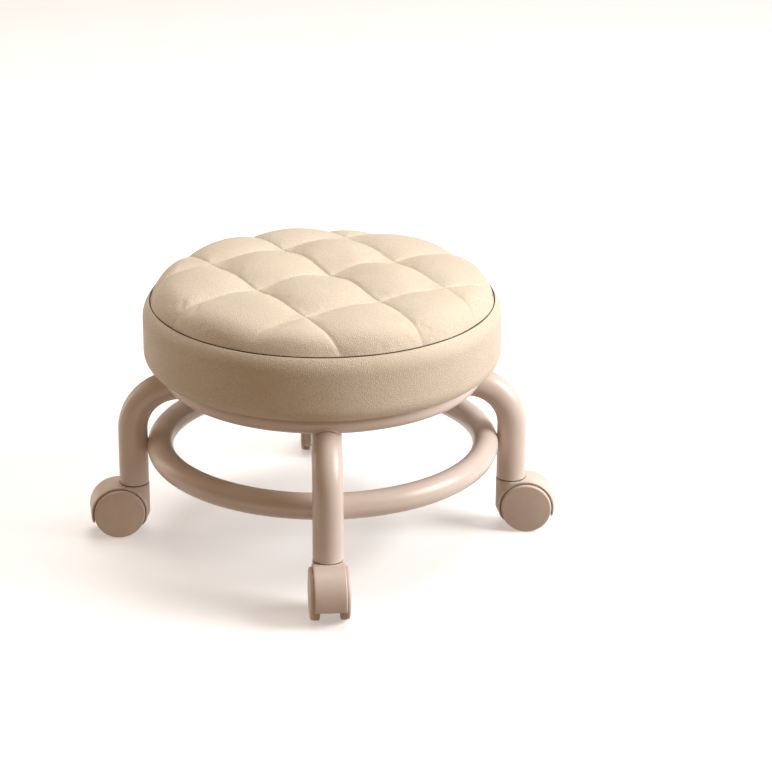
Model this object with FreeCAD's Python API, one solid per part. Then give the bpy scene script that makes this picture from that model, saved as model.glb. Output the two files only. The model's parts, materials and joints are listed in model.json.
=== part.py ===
import FreeCAD, Part
import math
import os

# Low round stool on four casters, in millimetres.
# Frame of the model: origin on the floor under the centre of the seat, +Z up, front leg towards -Y.
# A quilted round cushion on a plywood board is bolted to a tube ring. The ring is let into four bent legs,
# a second ring ties the legs together lower down, and each leg stands on a hooded twin-wheel caster.

V = FreeCAD.Vector
UP = V(0, 0, 1)
ORIGIN = V(0, 0, 0)
near = 0.1                        # tolerance for picking the edges that lie on a face

# ---- casters: driving sizes ----
wheel_diameter = 43.6
wheel_tread_width = 5.0
wheel_tread_depth = 2.5           # tyre material over the wheel core
tread_edge_radius = 0.8
caster_trail = 14.0               # from the swivel axis to the axle
web_width = 16.4                  # middle web of the hood, between the two wheels
web_to_wheel_gap = 0.4            # each side
wheel_to_hood_gap = 0.4           # radial, between tyre and fender
hood_wall = 1.8
hood_roof = 1.0                   # material over the wheels, under the leg
hood_width = 26.6
hood_edge_radius = 0.9
collar_over_leg = 0.25            # the collar's radius past the leg's
collar_skirt_height = 18.0        # the collar's straight back ends here above the floor
hood_ground_clearance = 9.5
hood_toe_in = 8.0                 # how far the slanted heel runs in from the collar's back
fender_lip_angle = 18.0           # degrees below the axle where the fender ends
swivel_gap = 1.0                  # visible slot between leg and hood
axle_diameter = 5.0
axle_running_gap = 0.08
hub_diameter = 12.0
rim_wall = 1.5
wheel_web_inset = 1.75            # the wheel's thin web starts this far inside its inner face
wheel_web_thickness = 1.75
cap_depth = 3.6                   # how far the domed cap stands out of the wheel
cap_dome_rise = 1.0
cap_inset = 0.3                   # cap radius below the wheel radius
cap_rim_radius = 1.8
cap_wall = 1.3
cap_skirt_wall = 1.4
cap_skirt_depth = 1.25            # how far the cap's skirt reaches into the wheel's rim
clip_thickness = 0.8
clip_diameter = 10.0
clip_gap = 0.2

# ---- caster stems: driving sizes ----
stem_diameter = 10.0
stem_running_gap = 0.06           # stem in the hood
stem_socket_gap = 0.1             # stem in the leg's socket
stem_depth_in_hood = 22.0
stem_flange_diameter = 20.0
stem_flange_gap = 0.3             # thrust face over the hood
stem_below_socket_top = 6.0
stem_tip_chamfer = 1.2
grip_ring_height = 3.0
grip_ring_wall = 1.2
grip_ring_from_tip = 4.0
grip_ring_slot = 2.0
grip_ring_spring_gap = 0.15

# ---- frame: driving sizes ----
leg_diameter = 25.0
leg_wall = 1.2
leg_straight_length = 48.0
leg_bend_radius = 39.5
leg_azimuths = {"front": -90.0, "right": 0.0, "back": 90.0, "left": 180.0}
swivel_rest = {"front": 2.2, "right": -6.0, "back": -2.2, "left": 6.0}   # degrees off pointing outwards
leg_end_past_ring = 8.5           # leg's inner end, inside the seat ring
foot_ring_diameter = 22.0         # tube
foot_ring_wall = 1.2
foot_ring_below_bend = 13.0
foot_ring_bite = 0.5              # weld seat in the leg's wall
seat_ring_diameter = 19.0         # tube
seat_ring_wall = 1.2
seat_ring_past_bend = 4.7         # ring's centre line outside the start of the leg's bend
seat_ring_saddle = 6.1            # how deep the ring is let into the legs
socket_below_bend = 13.5
plug_flange = 2.0
plug_depth = 7.0
plug_wall = 1.5
tab_thickness = 3.0
tab_width = 24.0
tab_bolt_inset = 17.5             # bolt circle inside the seat ring's inner side
tab_nose = 9.0                    # tab past the bolt
tab_corner_radius = 5.4

# ---- seat: driving sizes ----
seat_diameter = 300.0
seat_overhang = 23.8              # seat edge past the seat ring's centre line
cover_thickness = 1.2
shoulder_radius = 20.0
seam_inset = 6.3                  # top seam inside the seat's edge
side_height = 27.7                # straight part of the side band
lower_radius = 14.0
lip_drop = 4.0                    # padded lower edge under the board
lip_run = 5.0
crown_height = 27.0               # middle of the top over the seam
crown_radius = 750.0              # nearly flat middle of the top
rim_roll_radius = 27.0            # rounded rim of the top, down to the seam
board_thickness = 12.0
board_inset = 20.0
margin_past_bolts = 7.0           # turned-in cover stops this far outside the bolt circle
cloth_thickness = 0.6
cloth_past_margin = 10.0
staple_spacing_angle = 15.0
staple_crown = V(1.2, 10.0, 0.6)
staple_leg_length = 7.0
staple_wire = 0.6

# ---- fasteners: driving sizes ----
bolt_diameter = 6.0
bolt_hole_gap = 0.3
bolt_head_diameter = 11.0
bolt_head_height = 3.6
bolt_head_rounding = 1.6
bolt_key = 4.0
bolt_key_depth = 2.0
bolt_length = 18.0
washer_diameter = 14.0
washer_thickness = 1.2
t_nut_barrel = 8.0
t_nut_barrel_length = 9.0
t_nut_flange = 18.0
t_nut_flange_thickness = 1.2

# ---- places that follow from the sizes ----
wheel_radius = wheel_diameter / 2
axle_height = wheel_radius
pocket_radius = wheel_radius + wheel_to_hood_gap
fender_radius = pocket_radius + hood_wall
collar_radius = leg_diameter / 2 + collar_over_leg
collar_top = axle_height + pocket_radius + hood_roof
leg_foot = collar_top + swivel_gap
web_half = web_width / 2
wheel_face = web_half + web_to_wheel_gap
tread_face = wheel_face + wheel_tread_width
bend_start = leg_foot + leg_straight_length
leg_shoulder = bend_start + leg_bend_radius
seat_radius = seat_diameter / 2
seat_ring_radius = seat_radius - seat_overhang
leg_circle = seat_ring_radius - seat_ring_past_bend + leg_bend_radius
foot_ring_height = bend_start - foot_ring_below_bend
foot_ring_radius = leg_circle - leg_diameter / 2 - foot_ring_diameter / 2 + foot_ring_bite
seat_ring_height = leg_shoulder + leg_diameter / 2 + seat_ring_diameter / 2 - seat_ring_saddle
seat_ring_inner = seat_ring_radius - seat_ring_diameter / 2
leg_inner_end = seat_ring_inner - leg_end_past_ring
socket_top = bend_start - socket_below_bend
stem_top = socket_top - stem_below_socket_top
ring_top = seat_ring_height + seat_ring_diameter / 2
board_bottom = ring_top + cover_thickness
board_top = board_bottom + board_thickness
board_radius = seat_radius - board_inset
tab_top = ring_top - cloth_thickness
tab_bottom = tab_top - tab_thickness
bolt_circle = seat_ring_inner - tab_bolt_inset
margin_radius = bolt_circle + margin_past_bolts
cloth_radius = margin_radius + cloth_past_margin
bolt_head_face = tab_bottom - washer_thickness


def tube_ring(radius, diameter, wall, height):
    """Closed ring of round tube, lying flat with its centre line at that height."""
    centre = V(0, 0, height)
    outer = Part.makeTorus(radius, diameter / 2, centre, UP)
    inner = Part.makeTorus(radius, diameter / 2 - wall, centre, UP)
    return outer.cut(inner)


def ring_envelope(radius, diameter, height):
    """The same ring as a full solid, for the saddles that other pieces are cut to."""
    return Part.makeTorus(radius, diameter / 2, V(0, 0, height), UP)


def revolved(points, axis_point=ORIGIN, axis=UP):
    """Solid of revolution of a closed outline of straight edges."""
    wire = Part.makePolygon(points + points[:1])
    return Part.Face(wire).revolve(axis_point, axis, 360)


def around(shape, angle):
    """Copy of a shape turned about the stool's own axis."""
    turned = shape.copy()
    turned.rotate(ORIGIN, UP, angle)
    return turned


def four_times(shape):
    """One copy of a shape modelled towards +X at each leg's azimuth, as a group of separate solids."""
    return Part.makeCompound([around(shape, azimuth) for azimuth in leg_azimuths.values()])


def annulus(diameter, wall, centre, normal):
    """Flat ring face: the cross-section of a tube."""
    outer = Part.Wire(Part.makeCircle(diameter / 2, centre, normal))
    inner = Part.Wire(Part.makeCircle(diameter / 2 - wall, centre, normal))
    return Part.Face([outer, inner])


# ---- frame ----

def leg():
    """Bent tube, up from the caster and over to the seat ring, saddled for both rings. Modelled towards +X."""
    foot = annulus(leg_diameter, leg_wall, V(leg_circle, 0, leg_foot), UP)
    upright = foot.extrude(V(0, 0, leg_straight_length))
    section = annulus(leg_diameter, leg_wall, V(leg_circle, 0, bend_start), UP)
    bend_centre = V(leg_circle - leg_bend_radius, 0, bend_start)
    bend = section.revolve(bend_centre, V(0, -1, 0), 90)
    end = annulus(leg_diameter, leg_wall, V(bend_centre.x, 0, leg_shoulder), V(1, 0, 0))
    arm = end.extrude(V(leg_inner_end - bend_centre.x, 0, 0))
    tube = upright.fuse([bend, arm]).removeSplitter()
    tube = tube.cut(ring_envelope(seat_ring_radius, seat_ring_diameter, seat_ring_height))
    tube = tube.cut(ring_envelope(foot_ring_radius, foot_ring_diameter, foot_ring_height))
    return max(tube.Solids, key=lambda solid: solid.Volume)


def leg_end_plug():
    """Plastic plug that closes the leg's inner end: a flange and a hollow spigot. Modelled towards +X."""
    bore = leg_diameter / 2 - leg_wall
    flange = Part.makeCylinder(leg_diameter / 2, plug_flange, V(leg_inner_end - plug_flange, 0, leg_shoulder),
                               V(1, 0, 0))
    spigot = Part.makeCylinder(bore, plug_depth, V(leg_inner_end, 0, leg_shoulder), V(1, 0, 0))
    hollow = Part.makeCylinder(bore - plug_wall, plug_depth, V(leg_inner_end, 0, leg_shoulder), V(1, 0, 0))
    return flange.fuse(spigot.cut(hollow)).removeSplitter()


def seat_tab():
    """Steel lug welded inside the seat ring, with the hole for a seat bolt. Modelled towards +X."""
    start = bolt_circle - tab_nose
    plate = Part.makeBox(seat_ring_radius - start, tab_width, tab_thickness,
                         V(start, -tab_width / 2, tab_bottom))
    nose_edges = [e for e in plate.Edges if e.BoundBox.XMax < start + near and e.BoundBox.ZLength > near]
    plate = plate.makeFillet(tab_corner_radius, nose_edges)
    hole = Part.makeCylinder(bolt_diameter / 2 + bolt_hole_gap, tab_thickness, V(bolt_circle, 0, tab_bottom))
    plate = plate.cut(hole)
    plate = plate.cut(ring_envelope(seat_ring_radius, seat_ring_diameter, seat_ring_height))
    return min(plate.Solids, key=lambda solid: solid.BoundBox.XMin)


def stem_socket():
    """Plastic sleeve pressed into the foot of the leg; a groove in its bore takes the stem's grip ring."""
    foot = V(leg_circle, 0, leg_foot)
    outer = Part.makeCylinder(leg_diameter / 2 - leg_wall, socket_top - leg_foot, foot)
    bore = Part.makeCylinder(stem_diameter / 2 + stem_socket_gap, socket_top - leg_foot, foot)
    groove = Part.makeCylinder(grip_ring_outer(), grip_ring_height, V(leg_circle, 0, grip_ring_bottom()))
    return outer.cut(bore.fuse(groove))


# ---- caster stem, modelled on the leg's axis towards +X ----

def grip_ring_outer():
    """Radius of the grip ring as it sits in the socket's groove."""
    return stem_diameter / 2 + stem_socket_gap + grip_ring_wall / 2


def grip_ring_bottom():
    """Height of the grip ring's lower face."""
    return stem_top - grip_ring_from_tip - grip_ring_height


def stem():
    """Steel stem with a thrust flange between leg and hood, a groove for the grip ring and a chamfered tip."""
    foot = collar_top - stem_depth_in_hood
    shaft = Part.makeCylinder(stem_diameter / 2, stem_top - foot, V(leg_circle, 0, foot))
    tip = [e for e in shaft.Edges if e.BoundBox.ZMin > stem_top - near]
    shaft = shaft.makeChamfer(stem_tip_chamfer, tip)
    flange_bottom = collar_top + stem_flange_gap
    flange = Part.makeCylinder(stem_flange_diameter / 2, leg_foot - flange_bottom,
                               V(leg_circle, 0, flange_bottom))
    core_radius = grip_ring_outer() - grip_ring_wall - grip_ring_spring_gap
    groove = Part.makeCylinder(stem_diameter, grip_ring_height, V(leg_circle, 0, grip_ring_bottom()))
    groove = groove.cut(Part.makeCylinder(core_radius, grip_ring_height, V(leg_circle, 0, grip_ring_bottom())))
    return shaft.fuse(flange).cut(groove)


def grip_ring():
    """Split spring ring that holds the stem in its socket."""
    place = V(leg_circle, 0, grip_ring_bottom())
    ring = Part.makeCylinder(grip_ring_outer(), grip_ring_height, place)
    ring = ring.cut(Part.makeCylinder(grip_ring_outer() - grip_ring_wall, grip_ring_height, place))
    slot = Part.makeBox(grip_ring_outer(), grip_ring_slot, grip_ring_height,
                        place + V(0, -grip_ring_slot / 2, 0))
    return ring.cut(slot)


# ---- caster pieces, modelled with the swivel axis on Z and the axle at +X ----

def across(radius, start, length, x=caster_trail, z=axle_height):
    """Cylinder along Y, from start, on the axle's line unless told otherwise."""
    return Part.makeCylinder(radius, length, V(x, start, z), V(0, 1, 0))


def hood_outline():
    """Side view of the hood as a slab: flat foot, slanted heel under the collar and the end of the fender."""
    lip_drop_height = axle_height - fender_radius * math.sin(math.radians(fender_lip_angle))
    heel = -collar_radius + hood_toe_in
    beyond = caster_trail + 2 * fender_radius
    slab = 2 * hood_width
    corners = [
        V(-beyond, -slab / 2, collar_skirt_height),
        V(-collar_radius, -slab / 2, collar_skirt_height),
        V(heel, -slab / 2, hood_ground_clearance),
        V(caster_trail, -slab / 2, hood_ground_clearance),
        V(caster_trail + pocket_radius / 2, -slab / 2, lip_drop_height),
        V(beyond, -slab / 2, lip_drop_height),
        V(beyond, -slab / 2, 2 * collar_top),
        V(-beyond, -slab / 2, 2 * collar_top),
    ]
    return Part.Face(Part.makePolygon(corners + corners[:1])).extrude(V(0, slab, 0))


def hood():
    """Moulded hood: collar round the stem, web between the wheels and a fender over them."""
    fender = across(fender_radius, -hood_width / 2, hood_width)
    edges = [e for e in fender.Edges if e.BoundBox.YLength < near]
    fender = fender.makeFillet(hood_edge_radius, edges)
    collar = Part.makeCylinder(collar_radius, collar_top, ORIGIN)
    body = fender.fuse(collar).common(hood_outline())
    for start in (web_half, -web_half - hood_width):
        body = body.cut(across(pocket_radius, start, hood_width))
    body = body.cut(Part.makeCylinder(collar_radius, fender_radius, V(0, 0, collar_top)))
    bore_radius = stem_diameter / 2 + stem_running_gap
    bore_foot = collar_top - stem_depth_in_hood - stem_flange_gap
    body = body.cut(Part.makeCylinder(bore_radius, collar_top - bore_foot, V(0, 0, bore_foot)))
    body = body.cut(across(axle_diameter / 2, -hood_width, 2 * hood_width))
    return max(body.Solids, key=lambda solid: solid.Volume)


def axle_half():
    """How far the axle reaches each side: through the wheel and its clip."""
    return tread_face + clip_gap + clip_thickness


def axle():
    """Steel pin pressed through the web of the hood."""
    return across(axle_diameter / 2, -axle_half(), 2 * axle_half())


def axle_clips():
    """Push-on washers that keep the wheels on the axle."""
    clips = []
    for start in (axle_half() - clip_thickness, -axle_half()):
        disc = across(clip_diameter / 2, start, clip_thickness)
        clips.append(disc.cut(across(axle_diameter / 2, start, clip_thickness)))
    return Part.makeCompound(clips)


def on_axle(radius, side, offset):
    """Point of a wheel's section: radius from the axle, offset along it on one side (-1 or 1)."""
    return V(caster_trail, side * offset, axle_height + radius)


def about_axle(points):
    """Solid of revolution about the axle."""
    return revolved(points, V(caster_trail, 0, axle_height), V(0, 1, 0))


def wheel_core(side):
    """Moulded wheel body: hub on the axle, thin web and a rim under the tyre."""
    bore = axle_diameter / 2 + axle_running_gap
    hub = hub_diameter / 2
    rim = wheel_radius - wheel_tread_depth
    rim_inner = rim - rim_wall
    web_in = wheel_face + wheel_web_inset
    web_out = web_in + wheel_web_thickness
    section = [
        on_axle(bore, side, wheel_face), on_axle(hub, side, wheel_face), on_axle(hub, side, web_in),
        on_axle(rim_inner, side, web_in), on_axle(rim_inner, side, wheel_face), on_axle(rim, side, wheel_face),
        on_axle(rim, side, tread_face), on_axle(rim_inner, side, tread_face), on_axle(rim_inner, side, web_out),
        on_axle(hub, side, web_out), on_axle(hub, side, tread_face), on_axle(bore, side, tread_face),
    ]
    return about_axle(section)


def tread(side):
    """Tyre band moulded over the core, with eased edges."""
    start = wheel_face if side > 0 else -tread_face
    band = across(wheel_radius, start, wheel_tread_width)
    band = band.makeFillet(tread_edge_radius, [e for e in band.Edges if e.BoundBox.YLength < near])
    return band.cut(across(wheel_radius - wheel_tread_depth, start, wheel_tread_width))


def wheel_cap(side):
    """Domed cover snapped into the core's rim: a shallow dome with a rounded edge, hollow behind."""
    radius = wheel_radius - cap_inset
    face = tread_face + cap_depth
    edge_face = face - cap_dome_rise
    rim_start = radius - cap_rim_radius
    diagonal = cap_rim_radius * (1 - math.sqrt(0.5))
    dome_mid = math.sqrt(0.5) * rim_start

    def point(r, offset):
        return on_axle(r, side, offset)

    outer = [
        Part.Arc(point(0, face), point(dome_mid, face - cap_dome_rise / 2),
                 point(rim_start, edge_face)).toShape(),
        Part.Arc(point(rim_start, edge_face), point(radius - diagonal, edge_face - diagonal),
                 point(radius, edge_face - cap_rim_radius)).toShape(),
        Part.makeLine(point(radius, edge_face - cap_rim_radius), point(radius, tread_face)),
        Part.makeLine(point(radius, tread_face), point(0, tread_face)),
        Part.makeLine(point(0, tread_face), point(0, face)),
    ]
    axis_point = V(caster_trail, 0, axle_height)
    dome = Part.Face(Part.Wire(outer)).revolve(axis_point, V(0, 1, 0), 360)
    inner_radius = wheel_radius - wheel_tread_depth - rim_wall
    start = tread_face if side > 0 else -tread_face - cap_depth + cap_dome_rise + cap_wall
    hollow = across(inner_radius - cap_skirt_wall, start, cap_depth - cap_dome_rise - cap_wall)
    skirt_start = tread_face - cap_skirt_depth if side > 0 else -tread_face
    skirt = across(inner_radius, skirt_start, cap_skirt_depth)
    skirt = skirt.cut(across(inner_radius - cap_skirt_wall, skirt_start, cap_skirt_depth))
    return dome.cut(hollow).fuse(skirt).removeSplitter()


def caster_place(shape, name):
    """Copy of a caster piece, turned to its rest angle and moved under its leg."""
    placed = shape.copy()
    placed.rotate(ORIGIN, UP, leg_azimuths[name] + swivel_rest[name])
    azimuth = math.radians(leg_azimuths[name])
    placed.translate(V(leg_circle * math.cos(azimuth), leg_circle * math.sin(azimuth), 0))
    return placed


# ---- seat ----

def arc_through(centre, radius, start_angle, end_angle):
    """Arc in the XZ plane about a centre (x, z), angles in degrees from +X towards +Z."""
    def at(angle):
        a = math.radians(angle)
        return V(centre[0] + radius * math.cos(a), 0, centre[1] + radius * math.sin(a))

    return Part.Arc(at(start_angle), at((start_angle + end_angle) / 2), at(end_angle)).toShape()


def seam_angle():
    """Angle on the shoulder arc, from horizontal, at which the top seam lies."""
    return math.degrees(math.acos(1 - seam_inset / shoulder_radius))


def shoulder_centre():
    """Centre of the rounded shoulder in the seat's section."""
    return (seat_radius - shoulder_radius, ring_top - lip_drop + lower_radius + side_height)


def outer_seam():
    """Where the top's rim meets the shoulder on the outside of the cover."""
    a = math.radians(seam_angle())
    x, z = shoulder_centre()
    return (x + shoulder_radius * math.cos(a), z + shoulder_radius * math.sin(a))


def rim_roll():
    """Centre of the top's rounded rim and its lean: the angle from vertical where it meets the flat dome."""
    seam = outer_seam()
    dome_centre = seam[1] + crown_height - crown_radius
    to_roll = crown_radius - rim_roll_radius
    to_seam = math.hypot(seam[0], seam[1] - dome_centre)
    cosine = (to_seam ** 2 + to_roll ** 2 - rim_roll_radius ** 2) / (2 * to_seam * to_roll)
    lean = math.atan2(seam[0], seam[1] - dome_centre) - math.acos(cosine)
    centre = (to_roll * math.sin(lean), dome_centre + to_roll * math.cos(lean))
    return centre, math.degrees(lean)


def seam_point(inset):
    """The same meeting point at a depth under the outside: where the arcs of rim and shoulder cross."""
    x, z = shoulder_centre()
    roll_centre = rim_roll()[0]
    to_roll = (roll_centre[0] - x, roll_centre[1] - z)
    gap = math.hypot(to_roll[0], to_roll[1])
    shoulder = shoulder_radius - inset
    along = (gap ** 2 + shoulder ** 2 - (rim_roll_radius - inset) ** 2) / (2 * gap)
    aside = math.sqrt(shoulder ** 2 - along ** 2)
    return (x + (along * to_roll[0] + aside * to_roll[1]) / gap,
            z + (along * to_roll[1] - aside * to_roll[0]) / gap)


def seat_section(inset):
    """Edges of half the seat's section, from crown to underside, at a depth under the cover's outside."""
    crown = seam_point(0)[1] + crown_height - inset
    roll_centre, lean = rim_roll()
    seam = seam_point(inset)
    shoulder = shoulder_centre()
    roll_end = math.degrees(math.atan2(seam[1] - roll_centre[1], seam[0] - roll_centre[0]))
    shoulder_end = math.degrees(math.atan2(seam[1] - shoulder[1], seam[0] - shoulder[0]))
    lower_centre = (seat_radius - lower_radius, ring_top - lip_drop + lower_radius)
    side_x = seat_radius - inset
    lip = V(lower_centre[0], 0, lower_centre[1] - lower_radius + inset)
    underside = V(lip.x - lip_run, 0, ring_top + inset)
    return [
        arc_through((0, seam_point(0)[1] + crown_height - crown_radius), crown_radius - inset, 90, 90 - lean),
        arc_through(roll_centre, rim_roll_radius - inset, 90 - lean, roll_end),
        arc_through(shoulder_centre(), shoulder_radius - inset, shoulder_end, 0),
        Part.makeLine(V(side_x, 0, shoulder_centre()[1]), V(side_x, 0, lower_centre[1])),
        arc_through(lower_centre, lower_radius - inset, 0, -90),
        Part.makeLine(lip, underside),
        Part.makeLine(underside, V(0, 0, underside.z)),
        Part.makeLine(V(0, 0, underside.z), V(0, 0, crown)),
    ]


def seat_body(inset):
    """The seat's whole outside as one solid, or what the cover wraps."""
    wire = Part.Wire(Part.__sortEdges__(seat_section(inset)))
    return Part.Face(wire).revolve(ORIGIN, UP, 360)


def seam_cutter():
    """Cone through the seam that parts the cover into the top panel, above it, and the side band, below it."""
    outer = seam_point(0)
    inner = seam_point(cover_thickness)
    slope = (outer[1] - inner[1]) / (outer[0] - inner[0])
    far = 1.2 * seat_radius
    tip_z = outer[1] - slope * outer[0]
    far_z = outer[1] + slope * (far - outer[0])
    roof = far_z + crown_height
    return revolved([V(0, 0, tip_z), V(far, 0, far_z), V(far, 0, roof), V(0, 0, roof)])


def seat_cover():
    """Cover shell, with the underside open inside the turned-in margin."""
    shell = seat_body(0).cut(seat_body(cover_thickness))
    opening = Part.makeCylinder(margin_radius, 3 * cover_thickness, V(0, 0, ring_top - cover_thickness))
    return shell.cut(opening)


def board():
    """Round plywood board with the holes for the T-nuts."""
    disc = Part.makeCylinder(board_radius, board_thickness, V(0, 0, board_bottom))
    hole = Part.makeCylinder(t_nut_barrel / 2, board_thickness, V(bolt_circle, 0, board_bottom))
    return disc.cut(four_times(hole))


def under_board():
    """Everything lower than the board, for parting the stuffing at the board's underside."""
    return Part.makeCylinder(2 * seat_radius, board_bottom)


def foam():
    """Foam pad: everything inside the cover, over the board's underside, that the board and T-nuts leave."""
    pad = seat_body(cover_thickness).cut(under_board())
    pad = pad.cut(Part.makeCylinder(board_radius, board_thickness, V(0, 0, board_bottom)))
    flange = Part.makeCylinder(t_nut_flange / 2, t_nut_flange_thickness, V(bolt_circle, 0, board_top))
    return pad.cut(four_times(flange))


def foam_edge_strip():
    """Strip of foam that pads the lower edge of the seat, below the board."""
    return seat_body(cover_thickness).common(under_board())


def dust_cloth():
    """Non-woven cloth under the board, over the turned-in margin of the cover."""
    disc = Part.makeCylinder(cloth_radius, cloth_thickness, V(0, 0, tab_top))
    hole = Part.makeCylinder(bolt_diameter / 2 + bolt_hole_gap, cloth_thickness, V(bolt_circle, 0, tab_top))
    return disc.cut(four_times(hole))


def staples():
    """Staples through cloth and margin into the board, left out where a seat tab is in the way."""
    circle = (margin_radius + cloth_radius) / 2
    crown = Part.makeBox(staple_crown.x, staple_crown.y, staple_crown.z,
                         V(circle - staple_crown.x / 2, -staple_crown.y / 2, tab_top - staple_crown.z))
    staple = crown
    for y in (-staple_crown.y / 2, staple_crown.y / 2 - staple_wire):
        staple = staple.fuse(Part.makeBox(staple_crown.x, staple_wire, staple_leg_length,
                                          V(circle - staple_crown.x / 2, y, tab_top)))
    clear_angle = math.degrees(math.asin((tab_width / 2 + staple_crown.y) / circle))
    placed = []
    for step in range(round(360 / staple_spacing_angle)):
        angle = step * staple_spacing_angle
        to_tab = min(abs((angle - azimuth + 180) % 360 - 180) for azimuth in leg_azimuths.values())
        if to_tab > clear_angle:
            placed.append(around(staple.removeSplitter(), angle))
    return Part.makeCompound(placed)


# ---- fasteners, modelled towards +X ----

def t_nut():
    """Flanged nut let into the board from above."""
    barrel = Part.makeCylinder(t_nut_barrel / 2, t_nut_barrel_length,
                               V(bolt_circle, 0, board_top - t_nut_barrel_length))
    flange = Part.makeCylinder(t_nut_flange / 2, t_nut_flange_thickness, V(bolt_circle, 0, board_top))
    bore_length = t_nut_barrel_length + t_nut_flange_thickness
    bore = Part.makeCylinder(bolt_diameter / 2, bore_length, V(bolt_circle, 0, board_top - t_nut_barrel_length))
    return barrel.fuse(flange).cut(bore).removeSplitter()


def seat_bolt():
    """Button-head bolt from below, with a hexagon socket."""
    head = Part.makeCylinder(bolt_head_diameter / 2, bolt_head_height,
                             V(bolt_circle, 0, bolt_head_face - bolt_head_height))
    rim = [e for e in head.Edges if e.BoundBox.ZMax < bolt_head_face - bolt_head_height + near]
    head = head.makeFillet(bolt_head_rounding, rim)
    shank = Part.makeCylinder(bolt_diameter / 2, bolt_length, V(bolt_circle, 0, bolt_head_face))
    reach = bolt_key / math.sqrt(3)
    corners = []
    for k in range(6):
        a = math.radians(60 * k)
        corners.append(V(bolt_circle + reach * math.cos(a), reach * math.sin(a),
                         bolt_head_face - bolt_head_height))
    key = Part.Face(Part.makePolygon(corners + corners[:1])).extrude(V(0, 0, bolt_key_depth))
    return head.fuse(shank).cut(key)


def washer():
    """Plain washer under the bolt's head."""
    place = V(bolt_circle, 0, bolt_head_face)
    disc = Part.makeCylinder(washer_diameter / 2, washer_thickness, place)
    return disc.cut(Part.makeCylinder(bolt_diameter / 2 + bolt_hole_gap, washer_thickness, place))


def build():
    """Every sub-part of the stool, by node name."""
    cover = seat_cover()
    cutter = seam_cutter()
    made = {
        "foot_ring": tube_ring(foot_ring_radius, foot_ring_diameter, foot_ring_wall, foot_ring_height),
        "seat_ring": tube_ring(seat_ring_radius, seat_ring_diameter, seat_ring_wall, seat_ring_height),
        "seat_tabs": four_times(seat_tab()),
        "leg_end_plugs": four_times(leg_end_plug()),
        "stem_sockets": four_times(stem_socket()),
        "caster_stems": four_times(stem()),
        "grip_rings": four_times(grip_ring()),
        "seat_board": board(),
        "seat_foam": foam(),
        "foam_edge_strip": foam_edge_strip(),
        "seat_cover_top": cover.common(cutter),
        "seat_cover_band": cover.cut(cutter),
        "dust_cloth": dust_cloth(),
        "cover_staples": staples(),
        "t_nuts": four_times(t_nut()),
        "seat_bolts": four_times(seat_bolt()),
        "bolt_washers": four_times(washer()),
    }
    caster_pieces = {"hood": hood(), "axle": axle(), "axle_clips": axle_clips()}
    for number, side in ((1, -1), (2, 1)):
        caster_pieces[f"wheel_{number}"] = wheel_core(side)
        caster_pieces[f"tread_{number}"] = tread(side)
        caster_pieces[f"cap_{number}"] = wheel_cap(side)
    one_leg = leg()
    for name, azimuth in leg_azimuths.items():
        made[f"{name}_leg"] = around(one_leg, azimuth)
        for piece, shape in caster_pieces.items():
            made[f"{name}_caster_{piece}"] = caster_place(shape, name)
    return made


def main():
    os.makedirs("parts", exist_ok=True)
    for name, shape in build().items():
        shape.exportStep(os.path.join("parts", name + ".step"))
    print("leg circle", round(leg_circle, 2), "foot ring", round(foot_ring_radius, 2), round(foot_ring_height, 2))
    print("seat ring", round(seat_ring_radius, 2), round(seat_ring_height, 2), "shoulder", round(leg_shoulder, 2))
    print("seam", [round(v, 2) for v in seam_point(0)], "top", round(seam_point(0)[1] + crown_height, 2))


if __name__ == "__main__":
    main()
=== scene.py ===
# %% [markdown]
# # A low quilted stool on four casters
# The stool has a round cushion in cream leatherette, a frame of bent and powder-coated tube, and four
# hooded twin-wheel casters. The engineering model is loaded first. It fixes every size and place, and the
# pieces made here give each part its real surface. Lengths are in metres, +Z is up and the front leg points
# towards -Y.

# %% Load the engineering model
import json
import math

import bmesh
import bpy
from mathutils import Matrix, Vector, noise


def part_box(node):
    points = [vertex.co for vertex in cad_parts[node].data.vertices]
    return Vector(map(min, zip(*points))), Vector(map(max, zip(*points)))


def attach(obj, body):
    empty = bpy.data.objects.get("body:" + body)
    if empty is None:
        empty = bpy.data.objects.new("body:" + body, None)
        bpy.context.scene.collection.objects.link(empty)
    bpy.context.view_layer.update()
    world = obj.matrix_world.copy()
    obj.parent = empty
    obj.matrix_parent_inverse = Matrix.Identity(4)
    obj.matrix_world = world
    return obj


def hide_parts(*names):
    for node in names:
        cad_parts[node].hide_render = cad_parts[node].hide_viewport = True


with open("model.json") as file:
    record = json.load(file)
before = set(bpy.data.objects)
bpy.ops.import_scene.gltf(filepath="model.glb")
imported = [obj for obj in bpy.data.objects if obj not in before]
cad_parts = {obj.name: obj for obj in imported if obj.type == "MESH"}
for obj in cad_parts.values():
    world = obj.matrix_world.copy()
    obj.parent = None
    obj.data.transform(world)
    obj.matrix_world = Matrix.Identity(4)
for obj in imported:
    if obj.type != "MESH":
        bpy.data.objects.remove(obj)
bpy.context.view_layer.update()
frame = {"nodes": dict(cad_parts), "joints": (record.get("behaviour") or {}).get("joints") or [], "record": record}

MM = 0.001
UP = Vector((0, 0, 1))
FRAME_BODY = "frame"
scene = bpy.context.scene
joints = {joint["name"]: joint for joint in frame["joints"]}

# %% [markdown]
# Three small helpers come up in every step. One turns a finished bmesh into a piece with smooth faces and
# crisp edges. One spins a profile into a turned part, the way a lathe would. One samples an arc, so that a
# profile is written as straight stretches and roundings.

# %% Make a piece from a bmesh
CRISP_ANGLE = math.radians(35)


def shade(bm):
    """Smooth faces, with edges sharper than the crisp angle left hard."""
    for face in bm.faces:
        face.smooth = True
    for edge in bm.edges:
        edge.smooth = len(edge.link_faces) == 2 and edge.calc_face_angle() < CRISP_ANGLE


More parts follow.
